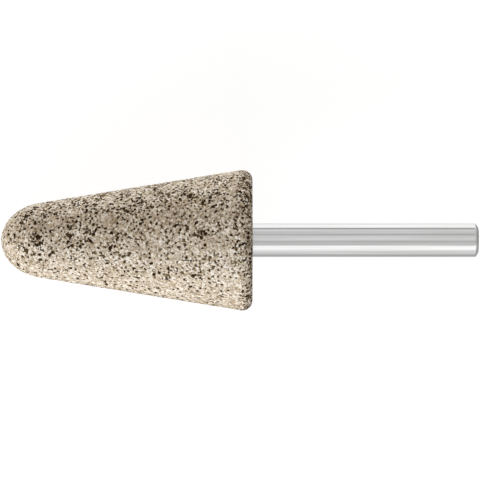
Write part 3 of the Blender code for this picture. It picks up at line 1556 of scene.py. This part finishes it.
@dataclass
class CementRing:
    """The cement: a cup that fills the bore round the shank, and a ring at the back face.

    The ring lies back from the face, over the share of its width that the sag rate gives, and
    climbs a little up the shank.
    """

    tool: ToolFrame
    shank: SteelShank
    form: HeadForm = field(default_factory=HeadForm)
    gap: float = 0.01 * MM
    setback: float = 0.22 * MM
    sag_rate: float = 2.5
    climb: float = 0.10 * MM
    climb_start: float = 0.72
    unevenness: float = 0.03 * MM
    lump: float = 0.33 * MM
    fine_pitch: float = 2.3
    fine_share: float = 0.6
    rim_share: float = 0.95
    ring_rows: int = 14
    segments: int = 216
    sharp_angle: float = math.radians(60)

    def section(self) -> list[tuple[float, float]]:
        """Draws half the section: out over the cup's floor, down its wall, and up inside.

        Returns:
            Radius and z of its points.
        """
        outer = self.form.bore_radius - self.gap
        inner = self.shank.radius + self.gap
        points = [(0.0, self.form.bore_depth - self.gap), (outer, self.form.bore_depth - self.gap)]
        points += [(outer, self.form.mouth_chamfer * 2)]
        mouth = self.form.bore_radius + self.form.mouth_chamfer - self.gap
        points += [(outer, self.form.mouth_chamfer), (mouth, self.gap)]
        for share in np.linspace(0, 1, self.ring_rows + 1)[1:]:
            radius = mouth + (inner - mouth) * share
            sag = self.setback * math.sin(math.pi / 2 * min(share * self.sag_rate, 1.0))
            rise = self.climb * (max(0.0, share - self.climb_start) / (1 - self.climb_start)) ** 2
            points.append((radius, sag - rise))
        ridge = inner - self.shank.groove_depth
        for low, high in reversed(self.shank.grooves()):
            points += [(inner, low + self.gap), (ridge, low + self.gap)]
            points += [(ridge, high - self.gap), (inner, high - self.gap)]
        floor = self.shank.set_length + self.gap
        return [*points, (inner, floor), (0.0, floor)]

    def build(self, crystal: bpy.types.NodeTree) -> bpy.types.Object:
        """Turns the cement, with an uneven skin where it shows.

        Args:
            crystal: The group for the broken surface.

        Returns:
            The piece.
        """
        bm = turned(self.section(), self.segments)
        lumps = (self.lump, self.lump / self.fine_pitch)
        for point in bm.verts:
            shown = 2 * self.gap < point.co.z < self.form.mouth_chamfer * self.rim_share
            if shown:
                coarse, fine = (noise.noise(point.co / size) for size in lumps)
                point.co.z += self.unevenness * (coarse + self.fine_share * fine)
        mesh = mesh_from(bm, "cement_ring")
        mesh.shade_smooth()
        mesh.set_sharp_from_angle(angle=self.sharp_angle)
        piece = show(mesh, CementFinish().material("pale_cement", crystal), self.tool)
        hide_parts("cement_sleeve")
        return piece


@dataclass(frozen=True)
class Strip:
    """A long light or dark strip of the studio that runs beside the tool, seen only in metal.

    Angles go round the tool's axis, in degrees, from the camera towards the picture's bottom.
    """

    start: float
    end: float
    level: float


@dataclass(frozen=True)
class Lamp:
    """A long soft panel of light beside the tool.

    The angle goes round the tool's axis, in degrees, from the camera towards the picture's bottom,
    and the lead is how far the panel is carried towards the nose. Metal doesn't mirror it.
    """

    name: str
    angle: float
    lead: float
    level: float
    tint: tuple[float, float, float] = (1.0, 1.0, 1.0)
    distance: float = 0.8
    size: tuple[float, float] = (1.0, 0.35)


@dataclass(frozen=True)
class Studio:
    """The camera, the pale floor and the soft light.

    Metal mirrors the strips where it is seen square to its length, softer ones where it is seen off
    square, and a plain level beyond its ends. Each reach is a span of how endwise a ray goes, from
    0, square to the tool, to 1, along it, and the end span is one of how far it goes to the top.
    Pixels are those of the picture, and the white span is in metres from the tool.
    """

    tool: ToolFrame
    pixels: int = 480
    pixels_per_mm: float = 5.615
    back_face_pixel: float = 252.55
    axis_pixel: float = 240.25
    lens: float = 300.0
    sensor: float = 36.0
    clip_shares: tuple[float, float] = (0.01, 10.0)
    floor_radius: float = 3.0
    floor_segments: int = 96
    floor_level: float = 0.8
    floor_glow: float = 0.85
    white_level: float = 1.20
    white_near: float = 0.74
    white_span: tuple[float, float] = (0.05, 0.25)
    dome_colour: tuple[float, float, float] = (0.385, 0.37, 0.35)
    lamps: tuple[Lamp, ...] = (
        Lamp("key", 65.0, 0.5, 1.18, tint=(0.97, 1.0, 1.035)),
        Lamp("rim", -80.0, 0.45, 0.84),
    )
    end_levels: tuple[float, float] = (0.32, 0.66)
    strips: tuple[Strip, ...] = (
        Strip(-158.0, -158.0, 0.72),
        Strip(-150.0, -134.0, 0.97),
        Strip(-130.0, -116.0, 1.20),
        Strip(-110.0, -98.0, 1.10),
        Strip(-91.0, -83.0, 0.36),
        Strip(-78.0, -68.0, 0.80),
        Strip(-64.0, -46.0, 0.67),
        Strip(-42.0, -37.0, 0.46),
        Strip(-32.0, -24.0, 0.71),
        Strip(-20.0, -1.0, 0.77),
        Strip(6.0, 11.0, 0.54),
        Strip(15.0, 35.0, 0.64),
        Strip(40.5, 62.0, 1.19),
        Strip(73.0, 73.0, 1.02),
        Strip(84.0, 107.0, 0.77),
        Strip(120.0, 138.0, 0.46),
        Strip(148.0, 148.0, 0.60),
    )
    soft_strips: tuple[tuple[float, float], ...] = (
        (-180.0, 0.42), (-160.0, 0.34), (-130.0, 0.38), (-112.0, 1.0), (-92.0, 1.08),
        (-72.0, 0.42), (-45.0, 0.70), (-8.0, 0.62), (18.0, 0.45), (48.0, 1.25),
        (80.0, 0.85), (122.0, 0.28), (155.0, 0.42), (180.0, 0.42),
    )
    soft_reach: tuple[float, float] = (0.08, 0.30)
    end_reach: tuple[float, float] = (0.80, 0.97)
    end_span: tuple[float, float] = (-0.05, 0.12)

    def build_camera(self) -> None:
        """Sets the camera square to the tool's axis, on the side that faces up."""
        camera = bpy.data.cameras.new("camera")
        camera.lens = self.lens
        camera.sensor_width = self.sensor
        width = self.pixels / self.pixels_per_mm * MM
        distance = width / 2 / (self.sensor / 2 / self.lens)
        camera.clip_start, camera.clip_end = (distance * share for share in self.clip_shares)
        stand = bpy.data.objects.new("camera", camera)
        bpy.context.scene.collection.objects.link(stand)
        right = -self.tool.to_nose
        along = (self.pixels / 2 - self.back_face_pixel) / self.pixels_per_mm * MM
        up = (self.axis_pixel - self.pixels / 2) / self.pixels_per_mm * MM
        target = self.tool.back_face + right * along + self.tool.side * up
        turn = Matrix((right, self.tool.side, self.tool.top)).transposed().to_4x4()
        stand.matrix_world = Matrix.Translation(target + self.tool.top * distance) @ turn
        bpy.context.scene.camera = stand
        log.info("camera: %.3f m from the tool", distance)

    def build_floor(self) -> None:
        """Lays a plain pale floor, which shows white but keeps the tool's shadow."""
        bm = bmesh.new()
        bmesh.ops.create_circle(
            bm, cap_ends=True, cap_tris=True, segments=self.floor_segments, radius=self.floor_radius,
        )
        mesh = mesh_from(bm, "floor")
        floor = bpy.data.objects.new("floor", mesh)
        bpy.context.scene.collection.objects.link(floor)
        mesh.materials.append(self.floor_material())
        floor.visible_glossy = False

    def floor_material(self) -> bpy.types.Material:
        """Builds the floor's material: pale, glowing a little as a light table does.

        The camera sees it white, but less so near the tool, where the shadow lies. From below it is
        clear.

        Returns:
            The material.
        """
        material, wiring, shader = new_material("pale_floor")
        shader.inputs["Base Color"].default_value = grey(self.floor_level)
        shader.inputs["Roughness"].default_value = 1.0
        shader.inputs["Specular IOR Level"].default_value = 0.0
        shader.inputs["Emission Color"].default_value = grey(1.0)
        camera_ray = wiring.add("LightPath").outputs["Is Camera Ray"]
        unseen = wiring.maths("SUBTRACT", 1.0, camera_ray)
        wiring.feed(shader.inputs["Emission Strength"], wiring.maths("MULTIPLY", unseen, self.floor_glow))
        place = wiring.add("TexCoord").outputs["Object"]
        far = wiring.add("VectorMath", operation="LENGTH")
        wiring.feed(far.inputs[0], place)
        white = wiring.spread(far.outputs["Value"], *self.white_span, self.white_near, 1.0)
        seen = wiring.maths("MULTIPLY", camera_ray, white)
        glow = wiring.add("Emission")
        glow.inputs["Strength"].default_value = self.white_level
        both = wiring.add("MixShader")
        wiring.feed(both.inputs[0], seen)
        wiring.feed(both.inputs[1], shader.outputs[0])
        wiring.feed(both.inputs[2], glow.outputs[0])
        clear = wiring.add("MixShader")
        wiring.feed(clear.inputs[0], wiring.add("NewGeometry").outputs["Backfacing"])
        wiring.feed(clear.inputs[1], both.outputs[0])
        wiring.feed(clear.inputs[2], wiring.add("BsdfTransparent").outputs[0])
        out = material.node_tree.nodes["Material Output"]
        wiring.feed(out.inputs["Surface"], clear.outputs[0])
        return material

    def build_world(self) -> None:
        """Surrounds the tool with an even dome, white to the camera and in strips to metal."""
        world = bpy.data.worlds.new("studio")
        world.use_nodes = True
        bpy.context.scene.world = world
        wiring = Wiring(world.node_tree)
        way = wiring.add("TexCoord").outputs["Generated"]
        front = wiring.along(way, self.tool.top)
        low = wiring.along(way, -self.tool.side)
        turn = wiring.maths("ARCTAN2", low, front)
        share = wiring.maths("ADD", wiring.maths("DIVIDE", turn, 2 * math.pi), 0.5)
        ends = [(angle, strip.level) for strip in self.strips for angle in sorted({strip.start, strip.end})]
        stops, soft = (
            [(angle / 360 + 0.5, grey(level)) for angle, level in table] for table in (ends, self.soft_strips)
        )
        strips = wiring.ramp(share, stops)
        endwise = wiring.maths("ABSOLUTE", wiring.along(way, self.tool.to_nose))
        off_square = wiring.spread(endwise, *self.soft_reach, 0.0, 1.0)
        strips = wiring.mix(off_square, strips, wiring.ramp(share, soft, "EASE"))
        to_end = wiring.spread(endwise, *self.end_reach, 0.0, 1.0)
        end = wiring.spread(front, *self.end_span, *self.end_levels)
        metal = wiring.mix(to_end, strips, end)
        path = wiring.add("LightPath")
        seen = wiring.mix(path.outputs["Is Glossy Ray"], (*self.dome_colour, 1), metal)
        seen = wiring.mix(path.outputs["Is Camera Ray"], seen, grey(1.0))
        wiring.feed(world.node_tree.nodes["Background"].inputs["Color"], seen)

    def build_lamp(self, lamp: Lamp) -> None:
        """Hangs one of the lamps, facing the tool, with the power that gives its level there.

        Args:
            lamp: The lamp.
        """
        light = bpy.data.lights.new(lamp.name, "AREA")
        light.shape = "RECTANGLE"
        light.size, light.size_y = lamp.size
        light.energy = math.pi**2 * lamp.distance**2 * lamp.level
        light.color = lamp.tint
        panel = bpy.data.objects.new(lamp.name, light)
        bpy.context.scene.collection.objects.link(panel)
        angle = math.radians(lamp.angle)
        way = self.tool.top * math.cos(angle) - self.tool.side * math.sin(angle)
        way = (way + self.tool.to_nose * lamp.lead).normalized()
        across = way.cross(self.tool.to_nose).normalized()
        turn = Matrix((across.cross(way), across, way)).transposed().to_4x4()
        panel.matrix_world = Matrix.Translation(self.tool.point(0) + way * lamp.distance) @ turn
        panel.visible_camera = False
        panel.visible_glossy = False

    def build(self) -> None:
        """Builds the stage."""
        self.build_camera()
        self.build_floor()
        self.build_world()
        for lamp in self.lamps:
            self.build_lamp(lamp)
        bpy.context.scene.view_settings.view_transform = "Standard"


def main() -> None:
    """Builds the stage and the tool's pieces."""
    logging.basicConfig(level=logging.INFO, format="%(name)s %(message)s")
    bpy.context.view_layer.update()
    tool = ToolFrame.from_record(frame["record"], "shank_end", SteelShank.free_length)
    Studio(tool).build()
    crystal = BrokenCrystal().group()
    AbrasiveHead(tool).build(crystal)
    shank = SteelShank(tool)
    shank.build()
    CementRing(tool, shank).build(crystal)


if __name__ == "__main__":
    main()
